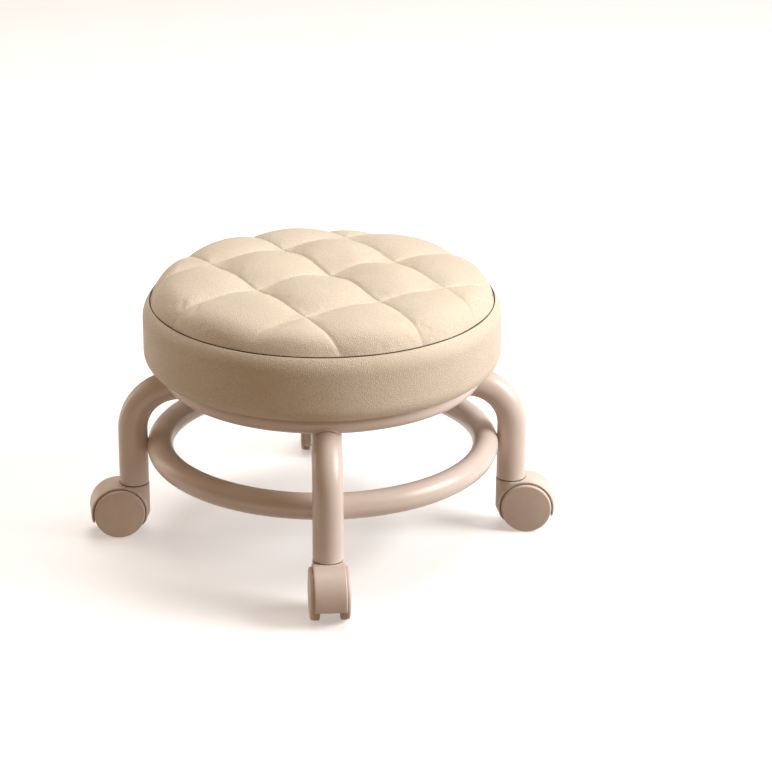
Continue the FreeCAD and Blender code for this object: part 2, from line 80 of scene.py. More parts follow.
def new_mesh(name, bm):
    """Mesh with outward faces; the bmesh is used up."""
    bmesh.ops.recalc_face_normals(bm, faces=bm.faces)
    shade(bm)
    mesh = bpy.data.meshes.new(name)
    bm.to_mesh(mesh)
    bm.free()
    return mesh


def new_piece(name, mesh, material, body, replaced=()):
    """Object at the origin that rides on a body and may stand for nodes of the engineering model."""
    piece = bpy.data.objects.new(name, mesh)
    scene.collection.objects.link(piece)
    mesh.materials.clear()
    mesh.materials.append(material)
    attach(piece, body)
    if replaced:
        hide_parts(*replaced)
    return piece


# %% Profiles: arcs and turned shapes
MERGE = 0.01 * MM


def arc(centre, radius, start, end, steps):
    """Points (r, z) of an arc; angles in degrees, from outwards (0) to upwards (90)."""
    points = []
    for step in range(steps + 1):
        angle = math.radians(start + (end - start) * step / steps)
        points.append((centre[0] + radius * math.cos(angle), centre[1] + radius * math.sin(angle)))
    return points


def turned(profile, segments, closed=False):
    """Spins a profile of (r, z) points about Z. A profile that ends on the axis closes there."""
    bm = bmesh.new()
    verts = [bm.verts.new((r, 0, z)) for r, z in profile]
    edges = [bm.edges.new(pair) for pair in zip(verts, verts[1:])]
    if closed:
        edges.append(bm.edges.new((verts[-1], verts[0])))
    bmesh.ops.spin(bm, geom=verts + edges, cent=(0, 0, 0), axis=UP, angle=math.tau, steps=segments,
                   use_merge=True)
    bmesh.ops.remove_doubles(bm, verts=bm.verts, dist=MERGE)
    return bm


# %% [markdown]
# ## Finishes
# Every finish is a node network. Colours are written as the hex values of a paint chart, and one function
# turns them into the linear light values that the shader needs. A second small function adds a node with
# its settings and links, so that each material reads as a short recipe.

# %% Colour and node helpers
def linear(hex_colour):
    """sRGB hex such as "c8b49a" to a linear RGBA colour."""
    channels = []
    for start in (0, 2, 4):
        value = int(hex_colour[start:start + 2], 16) / 255
        channels.append(value / 12.92 if value <= 0.04045 else ((value + 0.055) / 1.055) ** 2.4)
    return (*channels, 1.0)


def add(tree, kind, inputs=None, **settings):
    """Adds a node; an input is a number, a colour or another node's socket."""
    node = tree.nodes.new(kind)
    for name, value in settings.items():
        setattr(node, name, value)
    for name, value in (inputs or {}).items():
        if isinstance(value, bpy.types.NodeSocket):
            tree.links.new(value, node.inputs[name])
        else:
            node.inputs[name].default_value = value
    return node


def new_material(name, **settings):
    """Material with a Principled shader; settings are its own sockets, by name with _ for a space."""
    material = bpy.data.materials.new(name)
    material.use_nodes = True
    shader = material.node_tree.nodes["Principled BSDF"]
    for key, value in settings.items():
        shader.inputs[key.replace("_", " ")].default_value = value
    place = add(material.node_tree, "ShaderNodeTexCoord").outputs["Object"]
    return material, material.node_tree, shader, place


def ramp(tree, factor, stops):
    """Colour ramp between (position, hex) stops."""
    node = add(tree, "ShaderNodeValToRGB", {"Fac": factor})
    while len(node.color_ramp.elements) < len(stops):
        node.color_ramp.elements.new(0.5)
    for element, (position, colour) in zip(node.color_ramp.elements, stops):
        element.position = position
        element.color = linear(colour)
    return node.outputs["Color"]


def per_metre(size_mm):
    """Texture scale for a pattern whose cell is that many millimetres."""
    return 1 / (size_mm * MM)


# %% [markdown]
# **Leatherette.** The cover is polyurethane film on a knitted back, embossed by a roller with a fine pebble
# grain. The pebbles are about a millimetre across, so they only show where light grazes them. A Voronoi
# pattern gives the network of creases between pebbles, warped a little by noise so that no cell is regular.
# The film is satin: a broad soft sheen and no mirror highlight. The creases between pebbles are also painted
# darker as painted shade, and a slow random tone varies the colour.

# %% Material: embossed polyurethane leatherette
PEBBLE_MM = 1.35
WARP_MM = 3.0


def leatherette(name, light, deep):
    material, tree, shader, place = new_material(name, Roughness=0.46, Specular_IOR_Level=0.45,
                                                 Sheen_Weight=0.12, Sheen_Roughness=0.5)
    warp = add(tree, "ShaderNodeTexNoise", {"Vector": place, "Scale": per_metre(WARP_MM), "Detail": 2.0})
    warped = add(tree, "ShaderNodeMixRGB", {"Fac": 0.0006, "Color1": place, "Color2": warp.outputs["Color"]},
                 blend_type="ADD")
    pebbles = add(tree, "ShaderNodeTexVoronoi", {"Vector": warped.outputs["Color"],
                                                 "Scale": per_metre(PEBBLE_MM)}, feature="DISTANCE_TO_EDGE")
    domes = add(tree, "ShaderNodeMapRange", {"Value": pebbles.outputs["Distance"], "From Max": 0.32},
                interpolation_type="SMOOTHSTEP")
    pores = add(tree, "ShaderNodeTexNoise", {"Vector": place, "Scale": per_metre(0.5), "Detail": 3.0})
    height = add(tree, "ShaderNodeMath", {0: domes.outputs["Result"], 1: pores.outputs["Fac"]},
                 operation="ADD")
    bump = add(tree, "ShaderNodeBump", {"Strength": 0.8, "Distance": 0.2 * MM, "Height": height.outputs[0]})
    tone = add(tree, "ShaderNodeTexNoise", {"Vector": place, "Scale": per_metre(60), "Detail": 3.0})
    # Painted shade: the colour falls towards the deep tone in the creases between pebbles, times a slow random
    # tone.
    tone_and_crease_shade = add(tree, "ShaderNodeMath", {0: tone.outputs["Fac"], 1: domes.outputs["Result"]},
               operation="MULTIPLY")
    colour = ramp(tree, tone_and_crease_shade.outputs[0], [(0.0, deep), (0.5, light), (1.0, light)])
    tree.links.new(colour, shader.inputs["Base Color"])
    tree.links.new(bump.outputs["Normal"], shader.inputs["Normal"])
    return material


cream_cover = leatherette("cream_pu_leatherette", "efe5d6", "dccdb6")
print("made", cream_cover.name)

# %% [markdown]
# **Powder coat.** The tubes are sprayed with dry polyester powder and baked. The melt levels itself but
# keeps a faint orange peel, ripples of about a millimetre and a half, which softens the edges of each
# highlight. Noise at that size, with a bump of a few hundredths of a millimetre, is enough.

# %% Material: powder-coated steel
def powder_coat(name, colour, shade_colour):
    material, tree, shader, place = new_material(name, Roughness=0.36, Coat_Weight=0.25, Coat_Roughness=0.3)
    peel = add(tree, "ShaderNodeTexNoise", {"Vector": place, "Scale": per_metre(1.6), "Detail": 1.5})
    bump = add(tree, "ShaderNodeBump", {"Strength": 0.5, "Distance": 0.02 * MM,
                                        "Height": peel.outputs["Fac"]})
    drift = add(tree, "ShaderNodeTexNoise", {"Vector": place, "Scale": per_metre(45), "Detail": 2.0})
    tint = ramp(tree, drift.outputs["Fac"], [(0.3, shade_colour), (0.7, colour)])
    tree.links.new(tint, shader.inputs["Base Color"])
    tree.links.new(bump.outputs["Normal"], shader.inputs["Normal"])
    return material


champagne_coat = powder_coat("champagne_powder_coat", "e7dad1", "e1d2c8")
print("made", champagne_coat.name)

# %% [markdown]
# **Moulded plastics.** Hoods and wheel caps are injection-moulded nylon in the colour of the frame, with
# the fine spark-eroded texture of the mould. The treads are a softer polyurethane that picks up dust. Plugs
# and sockets are black polypropylene.

# %% Materials: moulded plastics
def moulded(name, colour, dusty, roughness, grain_mm, depth_mm):
    material, tree, shader, place = new_material(name, Roughness=roughness, IOR=1.5)
    grain = add(tree, "ShaderNodeTexNoise", {"Vector": place, "Scale": per_metre(grain_mm), "Detail": 4.0})
    bump = add(tree, "ShaderNodeBump", {"Strength": 0.6, "Distance": depth_mm * MM,
                                        "Height": grain.outputs["Fac"]})
    patches = add(tree, "ShaderNodeTexNoise", {"Vector": place, "Scale": per_metre(14), "Detail": 4.0})
    tint = ramp(tree, patches.outputs["Fac"], [(0.35, dusty), (0.65, colour)])
    tree.links.new(tint, shader.inputs["Base Color"])
    tree.links.new(bump.outputs["Normal"], shader.inputs["Normal"])
    return material


hood_nylon = moulded("champagne_moulded_nylon", "e6d9cf", "e0d0c5", 0.42, 0.7, 0.03)
tread_rubber = moulded("champagne_polyurethane_tread", "cab5a4", "b7a190", 0.62, 1.1, 0.06)
black_plastic = moulded("black_polypropylene", "1b1b1c", "262627", 0.5, 0.9, 0.04)
print("made", hood_nylon.name, tread_rubber.name, black_plastic.name)

# %% [markdown]
# **Fixings and hidden layers.** Bolts, washers, stems and axles are bright zinc-plated steel, with the
# faint cloudiness of plating. The cloth under the seat is spun-bonded polypropylene: black fibres pressed
# together with a grid of small heat-bonded dots. The board is birch plywood.

# %% Materials: zinc, spun-bonded cloth and plywood
def zinc_plate():
    material, tree, shader, place = new_material("bright_zinc_plated_steel", Metallic=1.0)
    cloud = add(tree, "ShaderNodeTexNoise", {"Vector": place, "Scale": per_metre(2.5), "Detail": 5.0})
    rough = add(tree, "ShaderNodeMapRange", {"Value": cloud.outputs["Fac"], "To Min": 0.24, "To Max": 0.42})
    tint = ramp(tree, cloud.outputs["Fac"], [(0.3, "b9bcc0"), (0.7, "d2d5d8")])
    tree.links.new(tint, shader.inputs["Base Color"])
    tree.links.new(rough.outputs["Result"], shader.inputs["Roughness"])
    return material


def spun_bonded():
    material, tree, shader, place = new_material("black_spun_bonded_cloth", Roughness=0.9)
    fibres = add(tree, "ShaderNodeTexNoise", {"Vector": place, "Scale": per_metre(1.2), "Detail": 6.0,
                                              "Roughness": 0.8})
    dots = add(tree, "ShaderNodeTexVoronoi", {"Vector": place, "Scale": per_metre(1.8), "Randomness": 0.0})
    pressed = add(tree, "ShaderNodeMapRange", {"Value": dots.outputs["Distance"], "From Min": 0.2,
                                               "From Max": 0.35})
    height = add(tree, "ShaderNodeMath", {0: fibres.outputs["Fac"], 1: pressed.outputs["Result"]},
                 operation="MULTIPLY")
    bump = add(tree, "ShaderNodeBump", {"Strength": 0.8, "Distance": 0.15 * MM, "Height": height.outputs[0]})
    tint = ramp(tree, height.outputs[0], [(0.1, "111112"), (0.8, "2c2c2e")])
    tree.links.new(tint, shader.inputs["Base Color"])
    tree.links.new(bump.outputs["Normal"], shader.inputs["Normal"])
    return material


def birch_ply():
    material, tree, shader, place = new_material("birch_plywood", Roughness=0.6)
    plies = add(tree, "ShaderNodeTexWave", {"Vector": place, "Scale": per_metre(8.4), "Distortion": 0.4},
                bands_direction="Z")
    grain = add(tree, "ShaderNodeTexNoise", {"Vector": place, "Scale": per_metre(6), "Detail": 5.0})
    mixed = add(tree, "ShaderNodeMath", {0: plies.outputs["Fac"], 1: grain.outputs["Fac"]},
                operation="MULTIPLY")
    tint = ramp(tree, mixed.outputs[0], [(0.1, "b08a5c"), (0.6, "d9bd8f")])
    tree.links.new(tint, shader.inputs["Base Color"])
    return material


zinc = zinc_plate()
under_cloth = spun_bonded()
plywood = birch_ply()
# Dark brown for the ring that paints the shade of the seam groove.
painted_seam_shade_colour = moulded("dark_ring_painted_seam_shade", "4a3524", "3a2819", 0.6, 0.5, 0.05)
print("made", zinc.name, under_cloth.name, plywood.name)

# %% [markdown]
# ## Frame
# Two closed rings and four bent legs carry the seat. The rings are turned: a small circle spun once round
# the stool's axis. Each leg is one circle pushed up, spun through the quarter bend and pushed on to its
# inner end, the same order in which a tube bender works. A Solidify modifier gives the tube its wall,
# because its foot is open.

# %% Rings of tube
RING_SEGMENTS = 288
TUBE_SEGMENTS = 48


def ring_tube(node):
    """Round tube ring that fills the box of its node."""
    low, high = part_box(node)
    tube_radius = (high.z - low.z) / 2
    centre_radius = high.x - tube_radius
    profile = arc((centre_radius, low.z + tube_radius), tube_radius, 0, 360, TUBE_SEGMENTS)[:-1]
    mesh = new_mesh(node + "_tube", turned(profile, RING_SEGMENTS, closed=True))
    return new_piece(node + "_tube", mesh, champagne_coat, FRAME_BODY, [node])


seat_ring = ring_tube("seat_ring")
foot_ring = ring_tube("foot_ring")
print("rings", len(seat_ring.data.polygons), len(foot_ring.data.polygons), "faces")

# %% Bent legs
LEGS = {"right": 0, "back": 90, "left": 180, "front": 270}
BEND_RADIUS = 39.5 * MM
TUBE_WALL = 1.2 * MM
BEND_STEPS = 28
leg_low, leg_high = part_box("right_leg")
leg_radius = leg_high.y
leg_circle = leg_high.x - leg_radius
bend_start = leg_high.z - leg_radius - BEND_RADIUS


def push(bm, edges, offset):
    """Extrudes a loop of edges and moves the new loop; returns its edges."""
    made = bmesh.ops.extrude_edge_only(bm, edges=edges)["geom"]
    verts = [part for part in made if isinstance(part, bmesh.types.BMVert)]
    bmesh.ops.translate(bm, verts=verts, vec=offset)
    return [part for part in made
            if isinstance(part, bmesh.types.BMEdge) and all(v in verts for v in part.verts)]


def leg_mesh(name, azimuth):
    """One bent tube, modelled towards +X and turned to its place."""
    bm = bmesh.new()
    start = Matrix.Translation((leg_circle, 0, leg_low.z))
    bmesh.ops.create_circle(bm, cap_ends=False, radius=leg_radius, segments=TUBE_SEGMENTS, matrix=start)
    loop = push(bm, list(bm.edges), (0, 0, bend_start - leg_low.z))
    centre = Vector((leg_circle - BEND_RADIUS, 0, bend_start))
    bent = bmesh.ops.spin(bm, geom=loop, cent=centre, axis=(0, -1, 0), angle=math.radians(90),
                          steps=BEND_STEPS)["geom_last"]
    last = [part for part in bent if isinstance(part, bmesh.types.BMEdge)]
    push(bm, last, (leg_low.x - centre.x, 0, 0))
    bmesh.ops.remove_doubles(bm, verts=bm.verts, dist=MERGE)
    turn = Matrix.Rotation(math.radians(azimuth), 3, "Z")
    bmesh.ops.rotate(bm, verts=bm.verts, cent=(0, 0, 0), matrix=turn)
    return new_mesh(name, bm)


for leg, azimuth in LEGS.items():
    tube = new_piece(leg + "_leg_tube", leg_mesh(leg + "_leg_tube", azimuth), champagne_coat, FRAME_BODY,
                     [leg + "_leg"])
    wall = tube.modifiers.new("Wall", "SOLIDIFY")
    wall.thickness = TUBE_WALL
    wall.offset = -1
print("legs on a circle of", round(leg_circle / MM, 1), "mm")

# %% [markdown]
# Where tube meets tube there is a weld. The welder runs a thin bead round each saddle, and the coat goes
# over it. A bead is a curve along the line where the two surfaces cross, with a round section. The crossing
# line of the leg's arm with the seat ring has a closed form: walk round the arm and ask where the ring's
# surface is.

# %% Weld beads
BEAD_RADIUS = 0.75 * MM
BEAD_STEPS = 40
RIPPLE = 0.12
RIPPLE_BEAT = 2.1


def bead(name, points, azimuth):
    """Closed bead along points given towards +X."""
    curve = bpy.data.curves.new(name, "CURVE")
    curve.dimensions = "3D"
    curve.bevel_depth = BEAD_RADIUS
    curve.bevel_resolution = 3
    spline = curve.splines.new("POLY")
    spline.points.add(len(points) - 1)
    turn = Matrix.Rotation(math.radians(azimuth), 3, "Z")
    for index, (point, place) in enumerate(zip(spline.points, points)):
        point.co = (*(turn @ Vector(place)), 1)
        point.radius = 1 + RIPPLE * math.sin(RIPPLE_BEAT * index)
    spline.use_cyclic_u = True
    holder = bpy.data.objects.new(name, curve)
    scene.collection.objects.link(holder)
    mesh = bpy.data.meshes.new_from_object(holder.evaluated_get(bpy.context.evaluated_depsgraph_get()))
    bpy.data.objects.remove(holder)
    mesh.shade_smooth()
    return new_piece(name, mesh, champagne_coat, FRAME_BODY)


def saddle_points():
    """Crossing line of the leg's arm with the seat ring, out on the far side and back on the near side."""
    low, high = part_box("seat_ring")
    ring_tube_radius = (high.z - low.z) / 2
    ring_radius = high.x - ring_tube_radius
    ring_z = low.z + ring_tube_radius
    arm_z = leg_high.z - leg_radius
    first = math.asin((low.z - arm_z) / leg_radius)
    points = []
    for side in (1, -1):
        for step in range(BEAD_STEPS):
            share = step / BEAD_STEPS if side > 0 else 1 - step / BEAD_STEPS
            angle = first + (math.pi - 2 * first) * share
            y = leg_radius * math.cos(angle)
            z = arm_z + leg_radius * math.sin(angle)
            reach = math.sqrt(max(ring_tube_radius ** 2 - (ring_z - z) ** 2, 0))
            points.append((math.sqrt((ring_radius + side * reach) ** 2 - y ** 2), y, z))
    return points


for leg, azimuth in LEGS.items():
    bead(leg + "_saddle_weld", saddle_points(), azimuth)
print("weld beads", len(saddle_points()), "points each")

# %% [markdown]
# ## Casters
# Each caster is a moulded hood that swivels on a steel stem, with two wheels on one axle. The engineering
# model of the hood has the right walls and pockets, but its collar meets its fender in a sharp line. Real
# moulds have a radius there. A copy is joined up, remeshed in fine voxels and relaxed for a few rounds,
# which rounds every inner and outer corner by about a millimetre, as a mould does. It is made once, square
# to the axes, and copied.

# %% Find each caster's place and heading
CASTERS = ("front", "right", "back", "left")


def caster_matrix(name):
    """From the caster's own space (stem on Z, axle towards +X) to its place on the stool."""
    stem = Vector(joints[name + "_caster_swivel"]["pos_m"])
    axle = Vector(joints[name + "_wheel_1_spin"]["pos_m"])
    out = axle - stem
    heading = math.atan2(out.y, out.x)
    return Matrix.Translation((stem.x, stem.y, 0)) @ Matrix.Rotation(heading, 4, "Z")


first_axle = Vector(joints["right_wheel_1_spin"]["pos_m"])
first_stem = Vector(joints["right_caster_swivel"]["pos_m"])
trail = (first_axle - first_stem).to_2d().length
axle_height = first_axle.z
print("trail", round(trail / MM, 2), "mm, axle", round(axle_height / MM, 2), "mm above the floor")

# %% Soften the hood's corners
HOOD_MERGE = 0.005 * MM
VOXEL = 0.55 * MM
RELAX_ROUNDS = 5
RELAX_SHARE = 0.5


def softened_hood():
    """The hood with moulded radii, in the caster's own space."""
    bm = bmesh.new()
    bm.from_mesh(frame["nodes"]["right_caster_hood"].data)
    bmesh.ops.remove_doubles(bm, verts=bm.verts, dist=HOOD_MERGE)
    bm.transform(caster_matrix("right").inverted())
    source = bpy.data.objects.new("hood_source", new_mesh("hood_source", bm))
    scene.collection.objects.link(source)
    remesh = source.modifiers.new("Voxels", "REMESH")
    remesh.mode = "VOXEL"
    remesh.voxel_size = VOXEL
    relax = source.modifiers.new("Relax", "SMOOTH")
    relax.iterations = RELAX_ROUNDS
    relax.factor = RELAX_SHARE
    mesh = bpy.data.meshes.new_from_object(source.evaluated_get(bpy.context.evaluated_depsgraph_get()))
    bpy.data.objects.remove(source)
    mesh.shade_smooth()
    return mesh


hood_mesh = softened_hood()
print("hood", len(hood_mesh.polygons), "faces")

# %% [markdown]
# Wheels are turned parts. The tread has eased corners, and the cap is a shallow dome that rolls over into a
# short straight wall, so a thin shadow line separates it from the hood.

# %% Turn the treads and caps
WHEEL_SEGMENTS = 128
WHEEL_FACE = 8.6 * MM
TREAD_WIDTH = 5.0 * MM
TREAD_DEPTH = 2.5 * MM
TREAD_EASE = 0.9 * MM
CAP_DEPTH = 3.6 * MM
CAP_DOME = 1.0 * MM
CAP_INSET = 0.3 * MM
CAP_ROLL = 1.8 * MM
CAP_RETURN = 3.0 * MM


def tread_profile():
    """Tyre section (radius, distance from the caster's middle)."""
    outer = axle_height
    inner = outer - TREAD_DEPTH
    near, far = WHEEL_FACE, WHEEL_FACE + TREAD_WIDTH
    points = [(inner, near)]
    points += arc((outer - TREAD_EASE, near + TREAD_EASE), TREAD_EASE, -90, 0, 5)
    points += arc((outer - TREAD_EASE, far - TREAD_EASE), TREAD_EASE, 0, 90, 5)
    points.append((inner, far))
    return points


def cap_profile():
    """Cap section, from its pole over the roll to its back edge and in behind."""
    radius = axle_height - CAP_INSET
    back = WHEEL_FACE + TREAD_WIDTH
    edge = back + CAP_DEPTH - CAP_DOME
    flat = radius - CAP_ROLL
    sphere = (flat ** 2 + CAP_DOME ** 2) / (2 * CAP_DOME)
    spread = math.degrees(math.asin(flat / sphere))
    points = arc((0, edge + CAP_DOME - sphere), sphere, 90, 90 - spread, 10)
    points += arc((flat, edge - CAP_ROLL), CAP_ROLL, 88, 0, 9)
    points.append((radius, back))
    points.append((radius - CAP_RETURN, back))
    return points


def wheel_matrix(side):
    """Turned parts stand on Z; this lays them on the axle, facing out on one side (-1 or 1)."""
    lay = Matrix.Rotation(math.radians(-90 * side), 4, "X")
    return Matrix.Translation((trail, 0, axle_height)) @ lay


def wheel_piece(name, profile, closed, place, material, body, node):
    bm = turned(profile, WHEEL_SEGMENTS, closed)
    bm.transform(place)
    return new_piece(name, new_mesh(name, bm), material, body, [node])


# %% [markdown]
# A thin black collar under the leg's plastic socket fills most of the slot between leg and hood. It is
# painted shade: it is black, so the slot reads as the dark line of its shadow round the foot of every leg.
# It rides with the leg and stays clear of the hood.

# %% Black collar under each leg, painted shade of the slot
COLLAR_INSET = 0.2 * MM
COLLAR_HOLE = 10.2 * MM
COLLAR_DEPTH = 0.8 * MM
COLLAR_GAP = 0.02 * MM


def slot_shade_collar(name, azimuth):
    """Flat black ring just under the leg's foot, painted as the slot's shade."""
    outer = leg_radius - COLLAR_INSET
    low, high = leg_low.z - COLLAR_DEPTH, leg_low.z - COLLAR_GAP
    section = [(COLLAR_HOLE, low), (outer, low), (outer, high), (COLLAR_HOLE, high)]
    bm = turned(section, TUBE_SEGMENTS, closed=True)
    turn = Matrix.Rotation(math.radians(azimuth), 4, "Z")
    bm.transform(turn @ Matrix.Translation((leg_circle, 0, 0)))
    return new_piece(name, new_mesh(name, bm), black_plastic, FRAME_BODY)


for leg, azimuth in LEGS.items():
    slot_shade_collar(leg + "_slot_shade_collar", azimuth)
print("collars", len(LEGS), "with", TUBE_SEGMENTS, "segments")

# %% Place the four casters
for caster in CASTERS:
    place = caster_matrix(caster)
    hood = hood_mesh.copy()
    hood.name = caster + "_hood"
    hood.transform(place)
    new_piece(caster + "_hood", hood, hood_nylon, caster + "_caster",
              [caster + "_caster_hood"])
    for number, side in ((1, -1), (2, 1)):
        body = f"{caster}_wheel_{number}"
        axle = place @ wheel_matrix(side)
        wheel_piece(body + "_tyre", tread_profile(), True, axle, tread_rubber, body,
                    f"{caster}_caster_tread_{number}")
        wheel_piece(body + "_cap", cap_profile(), False, axle, hood_nylon, body,
                    f"{caster}_caster_cap_{number}")
print("placed", len(CASTERS), "casters")

# %% [markdown]
# ## Seat
# The seat's section is worked out from the engineering model's boxes: the widest radius, the seam that
# joins the top panel to the side band, and the crown. The band runs from the seam over a rounded shoulder,
# down the side, round the lower edge and in under the board. At the seam both parts turn in and leave a
# narrow groove, where a dark ring lies as painted shade.

# %% Read the seat's section
SHOULDER = 20.0 * MM
LOWER_EDGE = 14.0 * MM
LIP_RUN = 5.0 * MM
CROWN_RADIUS = 750.0 * MM
RIM_ROLL = 27.0 * MM
AT_SEAM = 0.02 * MM
band_low, band_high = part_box("seat_cover_band")
top_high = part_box("seat_cover_top")[1]
board_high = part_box("seat_board")[1]
seat_radius = band_high.x
seam_radius = top_high.x
crown_top = top_high.z
shoulder_r = seat_radius - SHOULDER
seam_angle = math.acos((seam_radius - shoulder_r) / SHOULDER)
lower_z = band_low.z + LOWER_EDGE


def seam_height():
    """Height of the seam: the highest point on the outermost edge of the top panel."""
    verts = frame["nodes"]["seat_cover_top"].data.vertices
    return max(v.co.z for v in verts if v.co.to_2d().length > seam_radius - AT_SEAM)


seam_z = seam_height()
shoulder_z = seam_z - SHOULDER * math.sin(seam_angle)
print("seam at", round(seam_radius / MM, 2), round(seam_z / MM, 2), "shoulder", round(shoulder_z / MM, 2))

# %% Spin the side band
SEAT_SEGMENTS = 384
TURN_IN = 1.1 * MM
SEAM_DEPTH = 3.0 * MM
COVER = 1.2 * MM
TUCK_STEPS = 6
CORNER_STEPS = 14
SIDE_STEPS = 8
MARGIN_INSET = 9.0 * MM
WAVE_SIZE = 55.0 * MM
WAVE_AMOUNT = 0.45 * MM


def band_profile():
    """Outside of the band, from inside the seam to the turned-in margin under the board."""
    seam_deg = math.degrees(seam_angle)
    lean = math.degrees(TURN_IN / SHOULDER)
    start = seam_deg - lean
    a = math.radians(start)
    inner = SHOULDER - TURN_IN
    roll = (shoulder_r + inner * math.cos(a), shoulder_z + inner * math.sin(a))
    tuck = arc(roll, TURN_IN, start + 90, start, TUCK_STEPS)
    deep = (tuck[0][0] - SEAM_DEPTH * math.cos(a), tuck[0][1] - SEAM_DEPTH * math.sin(a))
    points = [deep] + tuck
    points += arc((shoulder_r, shoulder_z), SHOULDER, start, 0, CORNER_STEPS)[1:]
    side_height = shoulder_z - lower_z
    points += [(seat_radius, shoulder_z - side_height * step / SIDE_STEPS) for step in range(1, SIDE_STEPS)]
    points += arc((seat_radius - LOWER_EDGE, lower_z), LOWER_EDGE, 0, -90, CORNER_STEPS)
    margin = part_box("seat_ring")[1].z
    points.append((seat_radius - LOWER_EDGE - LIP_RUN, margin))
    points.append((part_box("dust_cloth")[1].x - MARGIN_INSET, margin))
    return points


def waver(bm, size, amount):
    """Moves the points by a little smooth noise across their distance from the axis."""
    for vert in bm.verts:
        out = vert.co.copy()
        out.z = 0
        if out.length > 0.1:
            vert.co += out.normalized() * amount * noise.noise(vert.co / size)


band_bm = turned(band_profile(), SEAT_SEGMENTS)
waver(band_bm, WAVE_SIZE, WAVE_AMOUNT)
band = new_piece("seat_band_cover", new_mesh("seat_band_cover", band_bm), cream_cover, FRAME_BODY,
                 ["seat_cover_band", "foam_edge_strip"])
band_wall = band.modifiers.new("Cover", "SOLIDIFY")
band_wall.thickness = COVER
band_wall.offset = -1
print("band", len(band.data.polygons), "faces")

# %% [markdown]
# The top panel starts as a flat sheet, cut round, as the upholsterer cuts it. Two families of three
# straight lines are stitched across it, which leaves square puffs. The grid of the sheet is turned to the
# lines, so that every stitched line runs along edges of the mesh and its crease stays sharp. Then the sheet
# is laid on the dome: a point keeps its distance from the middle, measured along the dome's section.

# %% The sheet and its stitch lines
QUILT_TURN = math.radians(30.0)
LINES_U = (-63.7 * MM, 7.0 * MM, 71.0 * MM)
LINES_V = (-78.0 * MM, -1.0 * MM, 77.0 * MM)
PITCH = 2.4 * MM
ON_LINE = 0.1 * MM


def crown_section():
    """Centre and lean of the rim's roll, and the length of sheet to the end of the dome and to the seam."""
    dome_z = crown_top - CROWN_RADIUS
    to_roll = CROWN_RADIUS - RIM_ROLL
    to_seam = math.hypot(seam_radius, seam_z - dome_z)
    apart = math.acos((to_seam ** 2 + to_roll ** 2 - RIM_ROLL ** 2) / (2 * to_seam * to_roll))
    lean = math.atan2(seam_radius, seam_z - dome_z) - apart
    centre = (to_roll * math.sin(lean), dome_z + to_roll * math.cos(lean))
    roll_end = math.atan2(seam_radius - centre[0], seam_z - centre[1])
    dome_run = CROWN_RADIUS * lean
    return centre, lean, dome_run, dome_run + RIM_ROLL * (roll_end - lean)


roll_centre, roll_lean, dome_run, seam_run = crown_section()


def on_crown(run):
    """(radius, height, lean) of the sheet at a distance along the section."""
    if run <= dome_run:
        lean = run / CROWN_RADIUS
        return CROWN_RADIUS * math.sin(lean), crown_top - CROWN_RADIUS * (1 - math.cos(lean)), lean
    lean = roll_lean + (run - dome_run) / RIM_ROLL
    return roll_centre[0] + RIM_ROLL * math.sin(lean), roll_centre[1] + RIM_ROLL * math.cos(lean), lean


print("sheet is cut to a radius of", round(seam_run / MM, 1), "mm")

# %% [markdown]
# Depth of the quilting. The crossings are tied down through the foam with threads of one length, so they
# all lie on one level, however the dome falls off. Between two crossings the line rises in a shallow arch,
# and the puff rises steeply from the line and rounds off. Towards the seam the lines fade, because the
# panel is held down there all round. Each of these is a smooth function of the distance to the nearest
# line.

# %% Depth of the quilting at a point of the sheet
KNOT_LEVEL = crown_top - 9.2 * MM
LINE_DEPTH = 4.2 * MM
PUFF_SHARPNESS = 0.72
FADE_FROM = 30.0 * MM
FADE_TO = 120.0 * MM
RIM_SHARE = 0.42
PUFF_RISE = 3.4 * MM
RISE_FROM = 10.0 * MM
RISE_FULL = 75.0 * MM
RISE_ENDS = 38.0 * MM


def to_line(value, lines):
    """Distance to the nearest stitch line, and half the width of the puff there."""
    nearest = min(lines, key=lambda line: abs(value - line))
    half = (lines[-1] - lines[0]) / (2 * (len(lines) - 1))
    return abs(value - nearest), half


def smooth_step(low, high, value):
    share = min(max((value - low) / (high - low), 0), 1)
    return share * share * (3 - 2 * share)


def line_fade(run):
    """Share of the full depth that a stitch line keeps at a distance from the middle."""
    return 1 - (1 - RIM_SHARE) * smooth_step(FADE_FROM, FADE_TO, run)


def quilt_depth(u, v):
    """How far below the dome the stitched sheet lies at (u, v) of the sheet."""
    du, half_u = to_line(u, LINES_U)
    dv, half_v = to_line(v, LINES_V)
    across_u = math.sin(math.pi / 2 * min(du / half_u, 1))
    across_v = math.sin(math.pi / 2 * min(dv / half_v, 1))
    puff = (across_u * across_v) ** PUFF_SHARPNESS
    crossing = (1 - across_u ** 2) * (1 - across_v ** 2)
    run = math.hypot(u, v)
    line = LINE_DEPTH * line_fade(run)
    knot = max(on_crown(run)[1] - KNOT_LEVEL - line, 0)
    rise = PUFF_RISE * smooth_step(RISE_FROM, RISE_FULL, run) * smooth_step(0, RISE_ENDS, seam_run - run)
    return line * (1 - puff) + knot * crossing - rise * puff


print("depth at a crossing", round(quilt_depth(LINES_U[1], LINES_V[1]) / MM, 2), "mm")

# %% Cut the sheet and lay it on the dome
def line_positions(lines, limit):
    """Grid positions along one direction: every stitch line, and even steps of about the pitch between."""
    marks = [-limit] + list(lines) + [limit]
    places = []
    for start, end in zip(marks, marks[1:]):
        steps = max(2, round((end - start) / PITCH))
        places += [start + (end - start) * step / steps for step in range(steps)]
    return places + [limit]


